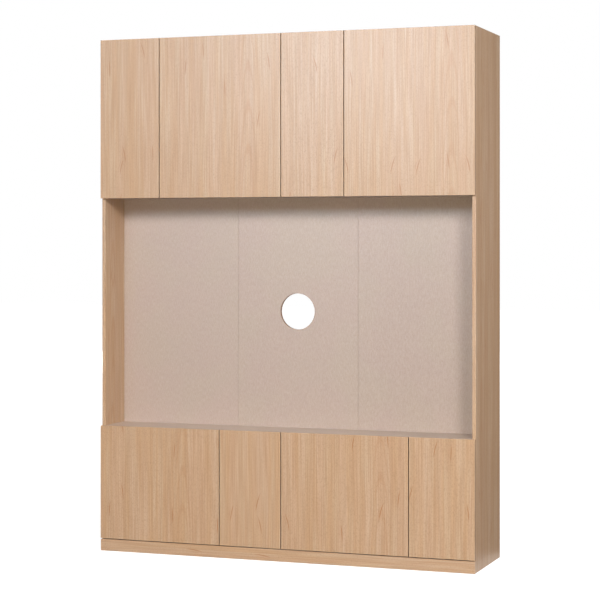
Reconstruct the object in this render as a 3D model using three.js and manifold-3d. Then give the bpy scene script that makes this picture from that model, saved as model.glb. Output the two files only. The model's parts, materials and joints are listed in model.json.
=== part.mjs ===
// A tall armoire for a television corner: two rows of handle-less doors with an open niche
// between them. Millimetres, +Z up, +X to the right of someone facing the doors, which look
// along -Y. The origin is on the floor under the middle of the whole piece.
import * as THREE from 'three';
import { mergeVertices } from 'three/addons/utils/BufferGeometryUtils.js';
import Module from 'manifold-3d';

const wasm = await Module();
wasm.setup();

// Overall size
const armoireWidth = 1800;
const armoireDepth = 455;
const armoireHeight = 2385;

// Board thicknesses
const carcassBoard = 16;
const doorBoard = 16;
const nicheBackBoard = 16;
const plinthBoard = 16;
const rearPanelBoard = 3;

// How boards meet: the softened edge of every board, the joint between two of them, the groove
// that a partition stands in, and the tongue on a niche back board, whose shoulder hides its groove
const edgeArris = 0.8;
const boardJoint = 0.2;
const grooveDepth = 5;
const tongueThickness = 8;

// The front from the floor up: plinth, shadow gap, lower doors, niche, and upper doors in the rest
const plinthHeight = 54;
const plinthReveal = 4;
const lowerDoorHeight = 526;
const nicheHeight = 1062;

// Doors: the seam between neighbours and the gap behind them that lets a push latch be pressed
const doorSeam = 4;
const doorStandOff = 3;

// Niche: depth of its floor, and the round cable hole in the middle back board
const nicheDepth = 204;
const cableHoleDiameter = 168;
const cableHoleHeight = 537;

// Plinth rail at the rear, kept clear of a skirting board
const rearRailSetback = 40;

// Shelves: how far the front edge lies behind the carcass front, and their round connectors
const shelfSetback = 22;
const shelfConnectorRadius = 10;
const shelfConnectorProud = 1.5;
const shelfConnectorInset = 14;
const shelfConnectorFrontInset = 45;

// Concealed hinge: the pin lies in the cup, this far from the door's edge and behind its face
const hingeEndInset = 95;
const hingePinInset = 7.5;
const hingePinDepth = 6;
const hingePinRadius = 1.1;
const cupRadius = 16.5;
const cupEdgeDistance = 4;
const cupFrontWall = 2.9;
const cupFlangeThickness = 1;
const cupFlangeOffset = 9.5;
const cupFlangeWidth = 13;
const cupFlangeHeight = 60;

// Hinge arm: a bent steel arm on a winged plate that is screwed to a side panel or a partition
const armWidth = 9;
const armThickness = 2.4;
const armEyeRadius = 2.5;
const armEyeClearance = 0.3;
const armDoorClearance = 1.5;
const armBendRadius = 1.6;
const armKneeSetback = 2;
const armKneeLength = 12;
const armTaperLength = 14;
const armBodyHeight = 7;
const armLength = 64;
const plateThickness = 3;
const plateBodyStart = 16;
const plateBodyLength = 44;
const plateBodyWidth = 13;
const plateWingSetback = 37;
const plateWingLength = 16;
const plateWingHeight = 50;
const plateCornerRadius = 3;

// Push latch: one housing carries two spring plungers, one for each door that meets at the seam
const plungerRadius = 4;
const plungerLength = 50;
const plungerTipRadius = 3.4;
const plungerTipLength = 5;
const plungerNeckRadius = 2.8;
const plungerNeckLength = 2;
const plungerSpacing = 30;
const plungerClearance = 0.3;
const latchWall = 2.6;
const latchLength = 62;
const latchSetback = 1;
const latchBackWall = 6;
const latchFootThickness = 3;
const latchFootWing = 9;
const latchFootLength = 30;
const latchFootSetback = 18;
const strikePlateRadius = 7;
const strikePlateThickness = 1;

// Steel angle that ties the top of the armoire to the wall
const wallAngleInset = 140;
const wallAngleWidth = 36;
const wallAngleLeg = 42;
const wallAngleDrop = 54;
const wallAngleThickness = 2.5;

// Counts: door modules across the front, boards across the niche back, sides of round forms,
// and sides in a rounded corner
const moduleCount = 6;
const nicheBackCount = 3;
const largeRoundCount = 64;
const cupSideCount = 28;
const smallRoundCount = 12;
const cornerSideCount = 2;

// One overrun takes every cutting solid past the face it opens
const cutOverrun = 2;

// Heights and depths that the sizes above settle
const doorFaceY = -armoireDepth / 2;
const doorBackY = doorFaceY + doorBoard;
const carcassFrontY = doorBackY + doorStandOff;
const nicheBackY = carcassFrontY + nicheDepth;
const tongueY = nicheBackY + boardJoint;
const rearY = armoireDepth / 2;
const rearPanelFrontY = rearY - rearPanelBoard;
const boardRearY = rearPanelFrontY - boardJoint;
const outerX = armoireWidth / 2;
const innerX = outerX - carcassBoard;
const partitionX = carcassBoard / 2;
const lowerDoorBottom = plinthHeight + plinthReveal;
const nicheFloorTop = lowerDoorBottom + lowerDoorHeight;
const nicheCeilingBottom = nicheFloorTop + nicheHeight;
const moduleWidth = armoireWidth / moduleCount;

// The same from the hinge pin: the back of the door, and the front edge of the carcass
const pinToDoorBack = doorBoard - hingePinDepth;
const pinToCarcass = pinToDoorBack + doorStandOff;

// Finishes
const finishes = {
  oak: { color: 0xd7b491, roughness: 0.55, metalness: 0 },
  linen: { color: 0xc9b6a6, roughness: 0.7, metalness: 0 },
  hardboard: { color: 0xb9a48f, roughness: 0.8, metalness: 0 },
  nickel: { color: 0xb9bbbd, roughness: 0.32, metalness: 1 },
  plastic: { color: 0x8d8f91, roughness: 0.5, metalness: 0 },
};

function at(x, y, z) {
  return new THREE.Vector3(x, y, z);
}

function finish(name) {
  return new THREE.MeshStandardMaterial({ name, ...finishes[name] });
}

function place(name, geometry, finishName, position, parent) {
  const mesh = new THREE.Mesh(geometry, finish(finishName));
  mesh.name = name;
  mesh.position.copy(position);
  parent.add(mesh);
  return mesh;
}

// Joining and cutting
function toSolid(geometry) {
  const bare = geometry.clone();
  bare.deleteAttribute('normal');
  bare.deleteAttribute('uv');
  const merged = mergeVertices(bare);
  const vertProperties = new Float32Array(merged.attributes.position.array);
  const triVerts = new Uint32Array(merged.index.array);
  const mesh = new wasm.Mesh({ numProp: 3, vertProperties, triVerts });
  mesh.merge();
  return new wasm.Manifold(mesh);
}

function toGeometry(solid) {
  const mesh = solid.getMesh();
  const geometry = new THREE.BufferGeometry();
  const points = new Float32Array(mesh.vertProperties);
  geometry.setAttribute('position', new THREE.BufferAttribute(points, mesh.numProp));
  geometry.setIndex(new THREE.BufferAttribute(new Uint32Array(mesh.triVerts), 1));
  geometry.computeVertexNormals();
  return geometry;
}

// Shapes drawn flat are stood up by a turn of the axes: the drawing's first axis, its second
// and its thickness become the three named axes in turn
const turns = {
  x: new THREE.Matrix4().makeBasis(
    new THREE.Vector3(0, 1, 0), new THREE.Vector3(0, 0, 1), new THREE.Vector3(1, 0, 0)),
  y: new THREE.Matrix4().makeBasis(
    new THREE.Vector3(0, 0, 1), new THREE.Vector3(1, 0, 0), new THREE.Vector3(0, 1, 0)),
  z: new THREE.Matrix4(),
};
const drawnAxes = { x: ['y', 'z'], y: ['z', 'x'], z: ['x', 'y'] };

function rectangle(width, height) {
  const shape = new THREE.Shape();
  shape.moveTo(-width / 2, -height / 2);
  shape.lineTo(width / 2, -height / 2);
  shape.lineTo(width / 2, height / 2);
  shape.lineTo(-width / 2, height / 2);
  shape.closePath();
  return shape;
}

function roundedRectangle(width, height, radius) {
  const shape = new THREE.Shape();
  const x = width / 2 - radius;
  const y = height / 2 - radius;
  shape.absarc(x, -y, radius, -Math.PI / 2, 0);
  shape.absarc(x, y, radius, 0, Math.PI / 2);
  shape.absarc(-x, y, radius, Math.PI / 2, Math.PI);
  shape.absarc(-x, -y, radius, Math.PI, 1.5 * Math.PI);
  shape.closePath();
  return shape;
}

// A flat shape given thickness along one axis, centred on the origin. A curve of the shape is
// drawn in twice as many steps as curveSegments says.
function plate(shape, thickness, axis) {
  const curveSegments = cornerSideCount / 2;
  const geometry = new THREE.ExtrudeGeometry(shape, { depth: thickness, bevelEnabled: false, curveSegments });
  geometry.translate(0, 0, -thickness / 2);
  return geometry.applyMatrix4(turns[axis]);
}

// A board with softened edges round both of its broad faces, with an optional round hole
function boardGeometry(size, thin, holeRadius = 0, holeAt = at(0, 0, 0)) {
  const [first, second] = drawnAxes[thin];
  const shape = rectangle(size[first] - 2 * edgeArris, size[second] - 2 * edgeArris);
  if (holeRadius > 0) {
    const hole = new THREE.Path();
    hole.absarc(holeAt[first], holeAt[second], holeRadius + edgeArris, 0, 2 * Math.PI);
    shape.holes.push(hole);
  }
  const geometry = new THREE.ExtrudeGeometry(shape, {
    depth: size[thin] - 2 * edgeArris,
    bevelThickness: edgeArris,
    bevelSize: edgeArris,
    bevelSegments: 1,
    curveSegments: largeRoundCount / 2,
  });
  geometry.translate(0, 0, edgeArris - size[thin] / 2);
  return geometry.applyMatrix4(turns[thin]);
}

// A board named by the space it fills, its thin way along one axis
function addBoard(name, low, high, thin, finishName, parent, holeRadius, holeCentre) {
  const size = high.clone().sub(low);
  const centre = high.clone().add(low).multiplyScalar(0.5);
  const holeAt = holeCentre ? holeCentre.clone().sub(centre) : undefined;
  const geometry = boardGeometry(size, thin, holeRadius, holeAt);
  return place(name, geometry, finishName, centre, parent);
}

// The box between two corners, as seen from an origin
function box(low, high, origin) {
  const size = high.clone().sub(low);
  const centre = high.clone().add(low).multiplyScalar(0.5).sub(origin);
  return new THREE.BoxGeometry(size.x, size.y, size.z).translate(centre.x, centre.y, centre.z);
}

// A rod along one axis, centred on the origin
function rod(radius, length, axis, sides) {
  const geometry = new THREE.CylinderGeometry(radius, radius, length, sides);
  geometry.rotateX(Math.PI / 2);
  return geometry.applyMatrix4(turns[axis]);
}

// The two closed cabinets, below and above the niche
const cabinets = [
  {
    name: 'lower',
    clearBottom: lowerDoorBottom + carcassBoard,
    clearTop: nicheFloorTop - carcassBoard,
    rearBottom: lowerDoorBottom,
    rearTop: nicheFloorTop,
    doorBottom: lowerDoorBottom,
    doorTop: nicheFloorTop,
    latchBoard: nicheFloorTop - carcassBoard,
    latchSide: -1,
  },
  {
    name: 'upper',
    clearBottom: nicheCeilingBottom + carcassBoard,
    clearTop: armoireHeight - carcassBoard,
    rearBottom: nicheCeilingBottom,
    rearTop: armoireHeight,
    doorBottom: nicheCeilingBottom,
    doorTop: armoireHeight,
    latchBoard: nicheCeilingBottom + carcassBoard,
    latchSide: 1,
  },
];

// The grooves for the partitions and for the tongues of the niche back, each cut in two boards
function groovesSeenFrom(origin) {
  const partitions = cabinets.map((cabinet) => box(
    at(-partitionX - boardJoint, carcassFrontY - cutOverrun, cabinet.clearBottom - grooveDepth),
    at(partitionX + boardJoint, boardRearY + cutOverrun, cabinet.clearTop + grooveDepth),
    origin,
  ));
  const nicheBack = box(
    at(-innerX - cutOverrun, tongueY - boardJoint, nicheFloorTop - grooveDepth),
    at(innerX + cutOverrun, tongueY + tongueThickness + boardJoint, nicheCeilingBottom + grooveDepth),
    origin,
  );
  return [...partitions, nicheBack].map(toSolid);
}

// Carcass: full-height sides, the boards between them, and a partition in each cabinet
function buildCarcass(parent) {
  addBoard('side_panel_left', at(-outerX, carcassFrontY, 0), at(-innerX, rearY, armoireHeight),
    'x', 'oak', parent);
  addBoard('side_panel_right', at(innerX, carcassFrontY, 0), at(outerX, rearY, armoireHeight),
    'x', 'oak', parent);

  const across = innerX - boardJoint;
  const levels = {
    lower_cabinet_floor: lowerDoorBottom,
    niche_floor: nicheFloorTop - carcassBoard,
    niche_ceiling: nicheCeilingBottom,
    top_panel: armoireHeight - carcassBoard,
  };
  for (const [name, bottom] of Object.entries(levels)) {
    const board = addBoard(name, at(-across, carcassFrontY, bottom),
      at(across, boardRearY, bottom + carcassBoard), 'z', 'linen', parent);
    const grooves = groovesSeenFrom(board.position);
    board.geometry = toGeometry(grooves.reduce((solid, groove) => solid.subtract(groove),
      toSolid(board.geometry)));
  }

  for (const cabinet of cabinets) {
    const foot = cabinet.clearBottom - grooveDepth + boardJoint;
    const head = cabinet.clearTop + grooveDepth - boardJoint;
    addBoard(`${cabinet.name}_partition`, at(-partitionX, carcassFrontY, foot),
      at(partitionX, boardRearY, head), 'x', 'linen', parent);
    addBoard(`${cabinet.name}_rear_panel`, at(-across, rearPanelFrontY, cabinet.rearBottom),
      at(across, rearY, cabinet.rearTop), 'y', 'hardboard', parent);
    for (const side of [-1, 1]) {
      addShelf(cabinet, side, parent);
    }
  }
}

// A shelf with the four round connectors under its ends that grip bolts in the panels
function addShelf(cabinet, side, parent) {
  const nearX = partitionX + boardJoint;
  const farX = innerX - boardJoint;
  const width = farX - nearX;
  const frontY = carcassFrontY + shelfSetback;
  const depth = boardRearY - frontY;
  const middleZ = (cabinet.clearBottom + cabinet.clearTop) / 2;
  let shelf = toSolid(boardGeometry(at(width, depth, carcassBoard), 'z'));
  const grip = shelfConnectorProud + edgeArris;
  for (const end of [-1, 1]) {
    for (const row of [-1, 1]) {
      const connector = rod(shelfConnectorRadius, grip, 'z', smallRoundCount);
      const x = end * (width / 2 - shelfConnectorInset);
      const y = row * (depth / 2 - shelfConnectorFrontInset);
      const z = -carcassBoard / 2 - shelfConnectorProud + grip / 2;
      shelf = shelf.add(toSolid(connector.translate(x, y, z)));
    }
  }
  const hand = side < 0 ? 'left' : 'right';
  const centre = at(side * (nearX + farX) / 2, frontY + depth / 2, middleZ);
  place(`${cabinet.name}_shelf_${hand}`, toGeometry(shelf), 'linen', centre, parent);
}

// Niche back: boards side by side with a tongue at foot and head, the middle one with the cable hole
function buildNicheBack(parent) {
  const names = ['niche_back_left', 'niche_back_middle', 'niche_back_right'];
  const pitch = 2 * innerX / nicheBackCount;
  const tongueReach = grooveDepth - boardJoint;
  const middle = Math.floor(nicheBackCount / 2);
  names.forEach((name, index) => {
    const left = -innerX + index * pitch + boardJoint / 2;
    const right = left + pitch - boardJoint;
    const low = at(left, nicheBackY, nicheFloorTop + boardJoint);
    const high = at(right, nicheBackY + nicheBackBoard, nicheCeilingBottom - boardJoint);
    const holeRadius = index === middle ? cableHoleDiameter / 2 : 0;
    const holeCentre = at(0, 0, nicheFloorTop + cableHoleHeight);
    const board = addBoard(name, low, high, 'y', 'linen', parent, holeRadius, holeCentre);
    const tongues = [nicheFloorTop, nicheCeilingBottom].map((level) => toSolid(box(
      at(left + edgeArris, tongueY, level - tongueReach),
      at(right - edgeArris, tongueY + tongueThickness, level + tongueReach),
      board.position,
    )));
    board.geometry = toGeometry(tongues.reduce((solid, tongue) => solid.add(tongue),
      toSolid(board.geometry)));
  });
}

// Plinth: the board in front of the sides, a rail at the rear and a bearer under the partition
function buildPlinth(parent) {
  const boardBackY = carcassFrontY - boardJoint;
  const frameTop = lowerDoorBottom - boardJoint;
  const across = innerX - boardJoint;
  const railBackY = rearY - rearRailSetback;
  const railFrontY = railBackY - plinthBoard;
  addBoard('plinth_board', at(-outerX, boardBackY - plinthBoard, 0), at(outerX, boardBackY, plinthHeight),
    'y', 'oak', parent);
  addBoard('plinth_rear_rail', at(-across, railFrontY, 0), at(across, railBackY, frameTop),
    'y', 'linen', parent);
  addBoard('plinth_bearer', at(-plinthBoard / 2, carcassFrontY, 0),
    at(plinthBoard / 2, railFrontY - boardJoint, frameTop), 'x', 'linen', parent);
}

// Door plan, left to right, in modules across the front. A door hangs on the outer side panel
// where it reaches the end of the row, and otherwise on the partition in the middle.
const doorPlan = {
  lower: [[0, 2, 'left'], [2, 3, 'right'], [3, 5, 'left'], [5, 6, 'right']],
  upper: [[0, 1, 'left'], [1, 3, 'right'], [3, 4, 'left'], [4, 6, 'right']],
};

// Cup, flange and pin of one hinge, as additions to and cuts from a door whose origin is on
// the pin's axis. hand is 1 where the door reaches to the right of its hinges.
function cupParts(hand) {
  const floorY = cupFrontWall - hingePinDepth;
  const cupX = hand * (cupEdgeDistance + cupRadius - hingePinInset);
  const depth = pinToDoorBack + cutOverrun - floorY;
  const bore = rod(cupRadius, depth, 'y', cupSideCount).translate(cupX, floorY + depth / 2, 0);
  const sunk = cupFlangeThickness + edgeArris;
  const outline = roundedRectangle(cupFlangeHeight, cupFlangeWidth, plateCornerRadius);
  const flange = plate(outline, sunk, 'y');
  flange.translate(cupX + hand * cupFlangeOffset, pinToDoorBack + cupFlangeThickness - sunk / 2, 0);
  const pinInCup = cupRadius + cupEdgeDistance - hingePinInset;
  const pinReach = Math.sqrt(cupRadius * cupRadius - pinInCup * pinInCup);
  const pin = rod(hingePinRadius, 2 * (pinReach + edgeArris), 'z', smallRoundCount);
  return { bore: toSolid(bore), flange: toSolid(flange), pin: toSolid(pin) };
}

function hingeHeights(door) {
  return [door.bottom + hingeEndInset, door.top - hingeEndInset];
}

// One door with its two pressed-in hinge cups and the strike plate of its latch
function doorGeometry(door) {
  const size = at(door.width, doorBoard, door.top - door.bottom);
  const board = boardGeometry(size, 'y');
  const middleX = door.hand * (door.width / 2 - hingePinInset);
  board.translate(middleX, doorBoard / 2 - hingePinDepth, size.z / 2);
  let solid = toSolid(board);
  for (const height of hingeHeights(door)) {
    const parts = cupParts(door.hand);
    const z = height - door.bottom;
    solid = solid.add(parts.flange.translate([0, 0, z]));
    solid = solid.subtract(parts.bore.translate([0, 0, z]));
    solid = solid.add(parts.pin.translate([0, 0, z]));
  }
  const grip = strikePlateThickness + edgeArris;
  const strike = rod(strikePlateRadius, grip, 'y', smallRoundCount);
  const strikeY = pinToDoorBack + strikePlateThickness - grip / 2;
  strike.translate(door.plungerX - door.pinX, strikeY, door.plungerZ - door.bottom);
  return toGeometry(solid.add(toSolid(strike)));
}

// The hinge arm from the side: a nose across the cup from the pin, a leg out of the cup's
// mouth and a body on the winged plate. panelFace is how far the panel lies from the pin.
function armOutline(panelFace, hand) {
  const half = armThickness / 2;
  const leg = pinToDoorBack + armDoorClearance;
  const rail = panelFace + plateThickness;
  const kneeStart = pinToCarcass + armKneeSetback;
  const kneeEnd = kneeStart + armKneeLength;
  const end = pinToCarcass + armLength;
  const bodyTop = rail + armBodyHeight;
  const bendX = leg - armBendRadius;
  const bendY = half + armBendRadius;
  const outer = armBendRadius + armThickness;
  const turned = (angle) => (hand > 0 ? angle : Math.PI - angle);
  const shape = new THREE.Shape();
  shape.moveTo(0, -half);
  shape.lineTo(0, half);
  shape.lineTo(hand * bendX, half);
  shape.absarc(hand * bendX, bendY, armBendRadius, turned(-Math.PI / 2), turned(0), hand < 0);
  shape.lineTo(hand * leg, kneeStart);
  shape.lineTo(hand * rail, kneeEnd);
  shape.lineTo(hand * rail, end);
  shape.lineTo(hand * bodyTop, end);
  shape.lineTo(hand * bodyTop, kneeEnd + armTaperLength);
  shape.lineTo(hand * (leg + armThickness), kneeStart);
  shape.absarc(hand * bendX, bendY, outer, turned(0), turned(-Math.PI / 2), hand > 0);
  shape.closePath();
  return shape;
}

function armGeometry(panelFace, hand) {
  const strip = plate(armOutline(panelFace, hand), armWidth, 'z');
  const eye = rod(armEyeRadius, armWidth, 'z', smallRoundCount);
  const pinHole = rod(hingePinRadius + armEyeClearance, armWidth + cutOverrun, 'z', smallRoundCount);
  const arm = toSolid(strip).add(toSolid(eye)).subtract(toSolid(pinHole));
  const middleX = hand * (panelFace + boardJoint + (plateThickness - boardJoint) / 2);
  const thickness = plateThickness - boardJoint;
  const bodyOutline = roundedRectangle(plateBodyLength, plateBodyWidth, plateCornerRadius);
  const body = plate(bodyOutline, thickness, 'x');
  body.translate(middleX, pinToCarcass + plateBodyStart + plateBodyLength / 2, 0);
  const wingOutline = roundedRectangle(plateWingLength, plateWingHeight, plateCornerRadius);
  const wings = plate(wingOutline, thickness, 'x');
  wings.translate(middleX, pinToCarcass + plateWingSetback, 0);
  return toGeometry(arm.add(toSolid(body)).add(toSolid(wings)));
}

// Latches: where a pair of free door edges meets, one housing under or on the nearest board
function latchHeight() {
  return 2 * (plungerRadius + plungerClearance + latchWall);
}

function latchGeometry(latchSide) {
  const height = latchHeight();
  const width = plungerSpacing + height;
  const body = plate(roundedRectangle(height, width, height / 2 - edgeArris), latchLength, 'y');
  const rootThickness = height / 2;
  const root = plate(rectangle(rootThickness, width), latchLength, 'y');
  root.translate(0, 0, -latchSide * (height - rootThickness) / 2);
  const foot = plate(rectangle(latchFootThickness, width + 2 * latchFootWing), latchFootLength, 'y');
  const footY = -latchLength / 2 + latchFootSetback + latchFootLength / 2;
  foot.translate(0, footY, -latchSide * (height - latchFootThickness) / 2);
  let solid = toSolid(body).add(toSolid(root)).add(toSolid(foot));
  const boreLength = latchLength - latchBackWall + cutOverrun;
  const boreY = -latchLength / 2 - cutOverrun + boreLength / 2;
  for (const side of [-1, 1]) {
    const bore = rod(plungerRadius + plungerClearance, boreLength, 'y', 2 * smallRoundCount);
    solid = solid.subtract(toSolid(bore.translate(side * plungerSpacing / 2, boreY, 0)));
  }
  return toGeometry(solid);
}

// A plunger turned on its axis: stem, neck and the magnet tip that meets the strike plate
function plungerGeometry() {
  const neckAt = plungerTipLength + plungerNeckLength;
  const profile = [
    [0, 0], [plungerTipRadius - edgeArris, 0], [plungerTipRadius, edgeArris],
    [plungerTipRadius, plungerTipLength], [plungerNeckRadius, plungerTipLength],
    [plungerNeckRadius, neckAt], [plungerRadius, neckAt], [plungerRadius, plungerLength],
    [0, plungerLength],
  ];
  const points = profile.map(([radius, along]) => new THREE.Vector2(radius, along));
  return new THREE.LatheGeometry(points, smallRoundCount);
}

// The steel angle under the top panel, one leg on the board and one on the rear panel
function wallAngleGeometry() {
  const shape = new THREE.Shape();
  shape.moveTo(0, 0);
  shape.lineTo(0, -wallAngleDrop);
  shape.lineTo(-wallAngleThickness, -wallAngleDrop);
  shape.lineTo(-wallAngleThickness, -wallAngleThickness);
  shape.lineTo(-wallAngleLeg, -wallAngleThickness);
  shape.lineTo(-wallAngleLeg, 0);
  shape.closePath();
  return plate(shape, wallAngleWidth, 'x');
}

// Works out a door from its plan: edges, hinge hand, pin axis and latch plunger
function settleDoor(cabinet, index, [from, to, hingeEnd]) {
  const leftX = -outerX + from * moduleWidth + (from > 0 ? doorSeam / 2 : 0);
  const rightX = -outerX + to * moduleWidth - (to < moduleCount ? doorSeam / 2 : 0);
  const hand = hingeEnd === 'left' ? 1 : -1;
  const onSide = from === 0 || to === moduleCount;
  const hingeX = hand > 0 ? leftX : rightX;
  const freeSeamX = -outerX + (hand > 0 ? to : from) * moduleWidth;
  const panelX = onSide ? -hand * innerX : hand * partitionX;
  const pinX = hingeX + hand * hingePinInset;
  return {
    name: `${cabinet.name}_door_${index + 1}`,
    hand,
    pinX,
    width: rightX - leftX,
    bottom: cabinet.doorBottom,
    top: cabinet.doorTop,
    panelFace: hand * (panelX - pinX),
    freeSeamX,
    plungerX: freeSeamX - hand * plungerSpacing / 2,
    plungerZ: cabinet.latchBoard + cabinet.latchSide * (boardJoint + latchHeight() / 2),
  };
}

function buildDoors(cabinet, parent) {
  const doors = doorPlan[cabinet.name].map((plan, index) => settleDoor(cabinet, index, plan));
  const pinY = doorFaceY + hingePinDepth;
  for (const door of doors) {
    const pivot = new THREE.Group();
    pivot.position.set(door.pinX, pinY, door.bottom);
    parent.add(pivot);
    place(door.name, doorGeometry(door), 'oak', at(0, 0, 0), pivot);
    hingeHeights(door).forEach((height, end) => {
      const arm = armGeometry(door.panelFace, door.hand);
      const name = `${door.name}_hinge_arm_${end === 0 ? 'bottom' : 'top'}`;
      place(name, arm, 'nickel', at(door.pinX, pinY, height), parent);
    });
    const tipY = doorBackY + strikePlateThickness + plungerClearance;
    const tip = at(door.plungerX, tipY, door.plungerZ);
    place(`${door.name}_latch_plunger`, plungerGeometry(), 'plastic', tip, parent);
  }
  const latchY = carcassFrontY + latchSetback + latchLength / 2;
  for (const door of doors.filter(({ hand }) => hand > 0)) {
    const name = `${cabinet.name}_latch_${door.freeSeamX < 0 ? 'left' : 'right'}`;
    const centre = at(door.freeSeamX, latchY, door.plungerZ);
    place(name, latchGeometry(cabinet.latchSide), 'plastic', centre, parent);
  }
}

function buildWallAngles(parent) {
  for (const [hand, side] of [['left', -1], ['right', 1]]) {
    const corner = at(side * (innerX - wallAngleInset), boardRearY,
      armoireHeight - carcassBoard - boardJoint);
    place(`wall_angle_${hand}`, wallAngleGeometry(), 'nickel', corner, parent);
  }
}

const armoire = new THREE.Group();
buildCarcass(armoire);
buildNicheBack(armoire);
buildPlinth(armoire);
buildWallAngles(armoire);
for (const cabinet of cabinets) {
  buildDoors(cabinet, armoire);
}

export default armoire;
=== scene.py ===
# %% [markdown]
# # A tall armoire for a television corner
# The cabinet stands 2.4 metres high: handle-less oak doors above and below, and an open niche
# lined with a linen-patterned board between them. Its boards, doors and hinges come in as a
# fixed frame, in metres, and this lesson dresses them: finishes made of nodes, and the small
# fittings that are too fine for the frame.

# %% Load the frame
import json
import math
import bmesh
import bpy
from mathutils import Matrix, Vector


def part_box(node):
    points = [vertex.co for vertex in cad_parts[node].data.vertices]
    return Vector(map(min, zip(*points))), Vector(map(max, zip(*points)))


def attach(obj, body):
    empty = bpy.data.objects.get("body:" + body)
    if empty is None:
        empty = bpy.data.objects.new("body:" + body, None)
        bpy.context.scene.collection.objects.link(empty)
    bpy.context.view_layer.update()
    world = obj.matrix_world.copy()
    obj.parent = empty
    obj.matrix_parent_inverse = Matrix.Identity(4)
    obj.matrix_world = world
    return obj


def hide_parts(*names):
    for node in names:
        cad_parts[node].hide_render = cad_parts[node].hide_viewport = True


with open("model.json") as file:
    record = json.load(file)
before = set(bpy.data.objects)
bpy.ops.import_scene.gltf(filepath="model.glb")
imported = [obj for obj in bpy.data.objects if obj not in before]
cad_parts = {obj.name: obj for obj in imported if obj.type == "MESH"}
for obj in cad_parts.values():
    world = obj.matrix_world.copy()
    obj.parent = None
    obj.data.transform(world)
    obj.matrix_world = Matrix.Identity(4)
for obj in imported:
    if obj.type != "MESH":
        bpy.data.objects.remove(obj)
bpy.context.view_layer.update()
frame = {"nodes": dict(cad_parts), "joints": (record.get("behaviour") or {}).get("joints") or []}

scene = bpy.context.scene
ROWS = ("lower", "upper")
HANDS = ("left", "right")
print("pieces in the frame:", len(frame["nodes"]))

# %% [markdown]
# ## The camera
# The armoire is seen from the right of its middle, level with the niche, through a long lens
# that keeps its upright edges upright. The lens, place and turn come from fitting the corners
# of a cabinet of this size to the picture; the picture was framed lower than the lens looks,
# and the shift carries that.

# %% Camera
PICTURE_WIDTH = 600
FOCAL_PIXELS = 1833.7
HORIZON_ROW = 241.8
SENSOR_WIDTH = 36.0
CAMERA_PLACE = (2.913, -7.9645, 1.443)
CAMERA_TURN = 20.026
camera_data = bpy.data.cameras.new("camera")
camera_data.sensor_width = SENSOR_WIDTH
camera_data.lens = FOCAL_PIXELS / PICTURE_WIDTH * SENSOR_WIDTH
camera_data.shift_y = (HORIZON_ROW - PICTURE_WIDTH / 2) / PICTURE_WIDTH
camera = bpy.data.objects.new("camera", camera_data)
camera.location = CAMERA_PLACE
camera.rotation_euler = (math.radians(90), 0, math.radians(CAMERA_TURN))
scene.collection.objects.link(camera)
scene.camera = camera
print("lens", round(camera_data.lens, 2), "mm")

# %% [markdown]
# ## Writing node trees in short lines
# Every finish here is a small network of nodes. Placed one by one they take a page each, so
# each kind that wood, linen and metal need gets a call of one line. A value that comes from
# another node is linked, and a plain number is typed into the socket.

# %% Node helper
class Sheet:
    def __init__(self, tree):
        self.tree = tree

    def node(self, kind, **settings):
        made = self.tree.nodes.new("ShaderNode" + kind)
        for name, value in settings.items():
            setattr(made, name, value)
        return made

    def feed(self, socket, value):
        if isinstance(value, bpy.types.NodeSocket):
            self.tree.links.new(value, socket)
        else:
            socket.default_value = value

    def give(self, sockets, **values):
        for name, value in values.items():
            self.feed(sockets[name], value)

    def math(self, operation, *values):
        made = self.node("Math", operation=operation)
        for socket, value in zip(made.inputs, values):
            self.feed(socket, value)
        return made.outputs[0]

    def plus(self, first, second):
        return self.math("ADD", first, second)

    def minus(self, first, second):
        return self.math("SUBTRACT", first, second)

    def times(self, first, second):
        return self.math("MULTIPLY", first, second)

    def vector(self, x, y, z):
        made = self.node("CombineXYZ")
        for socket, value in zip(made.inputs, (x, y, z)):
            self.feed(socket, value)
        return made.outputs[0]

    def split(self, value):
        made = self.node("SeparateXYZ")
        self.feed(made.inputs[0], value)
        return made.outputs

    def noise(self, x, y, z, detail=2.0, roughness=0.5):
        made = self.node("TexNoise")
        self.feed(made.inputs["Vector"], self.vector(x, y, z))
        made.inputs["Scale"].default_value = 1.0
        made.inputs["Detail"].default_value = detail
        made.inputs["Roughness"].default_value = roughness
        return made.outputs["Fac"]

    def even_noise(self, parts, scale, detail=2.0, roughness=0.5):
        """Noise of one size in all directions. The scale is how often it changes in a metre."""
        return self.noise(*[self.times(part, scale) for part in parts], detail, roughness)

    def ease(self, value, low, high):
        made = self.node("MapRange", interpolation_type="SMOOTHSTEP")
        for name, number in (("Value", value), ("From Min", low), ("From Max", high)):
            self.feed(made.inputs[name], number)
        return made.outputs["Result"]

    def mix(self, factor, first, second, blend="MIX"):
        made = self.node("Mix", data_type="RGBA", blend_type=blend)
        for index, value in ((0, factor), (6, first), (7, second)):
            self.feed(made.inputs[index], value)
        return made.outputs[2]

    def layer(self, ground, mask, strength, colour):
        """Lays a colour on the ground where the mask is, as thickly as the strength says."""
        return self.mix(self.times(mask, strength), ground, colour)

    def place(self, group, **values):
        made = self.node("Group")
        made.node_tree = group
        self.give(made.inputs, **values)
        return made.outputs


def new_group(name, inputs, outputs):
    tree = bpy.data.node_groups.new(name, "ShaderNodeTree")
    for label, kind, value in inputs:
        socket = tree.interface.new_socket(label, in_out="INPUT", socket_type="NodeSocket" + kind)
        socket.default_value = value
    for label, kind in outputs:
        tree.interface.new_socket(label, in_out="OUTPUT", socket_type="NodeSocket" + kind)
    start = tree.nodes.new("NodeGroupInput")
    end = tree.nodes.new("NodeGroupOutput")
    return Sheet(tree), start.outputs, end.inputs


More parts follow.
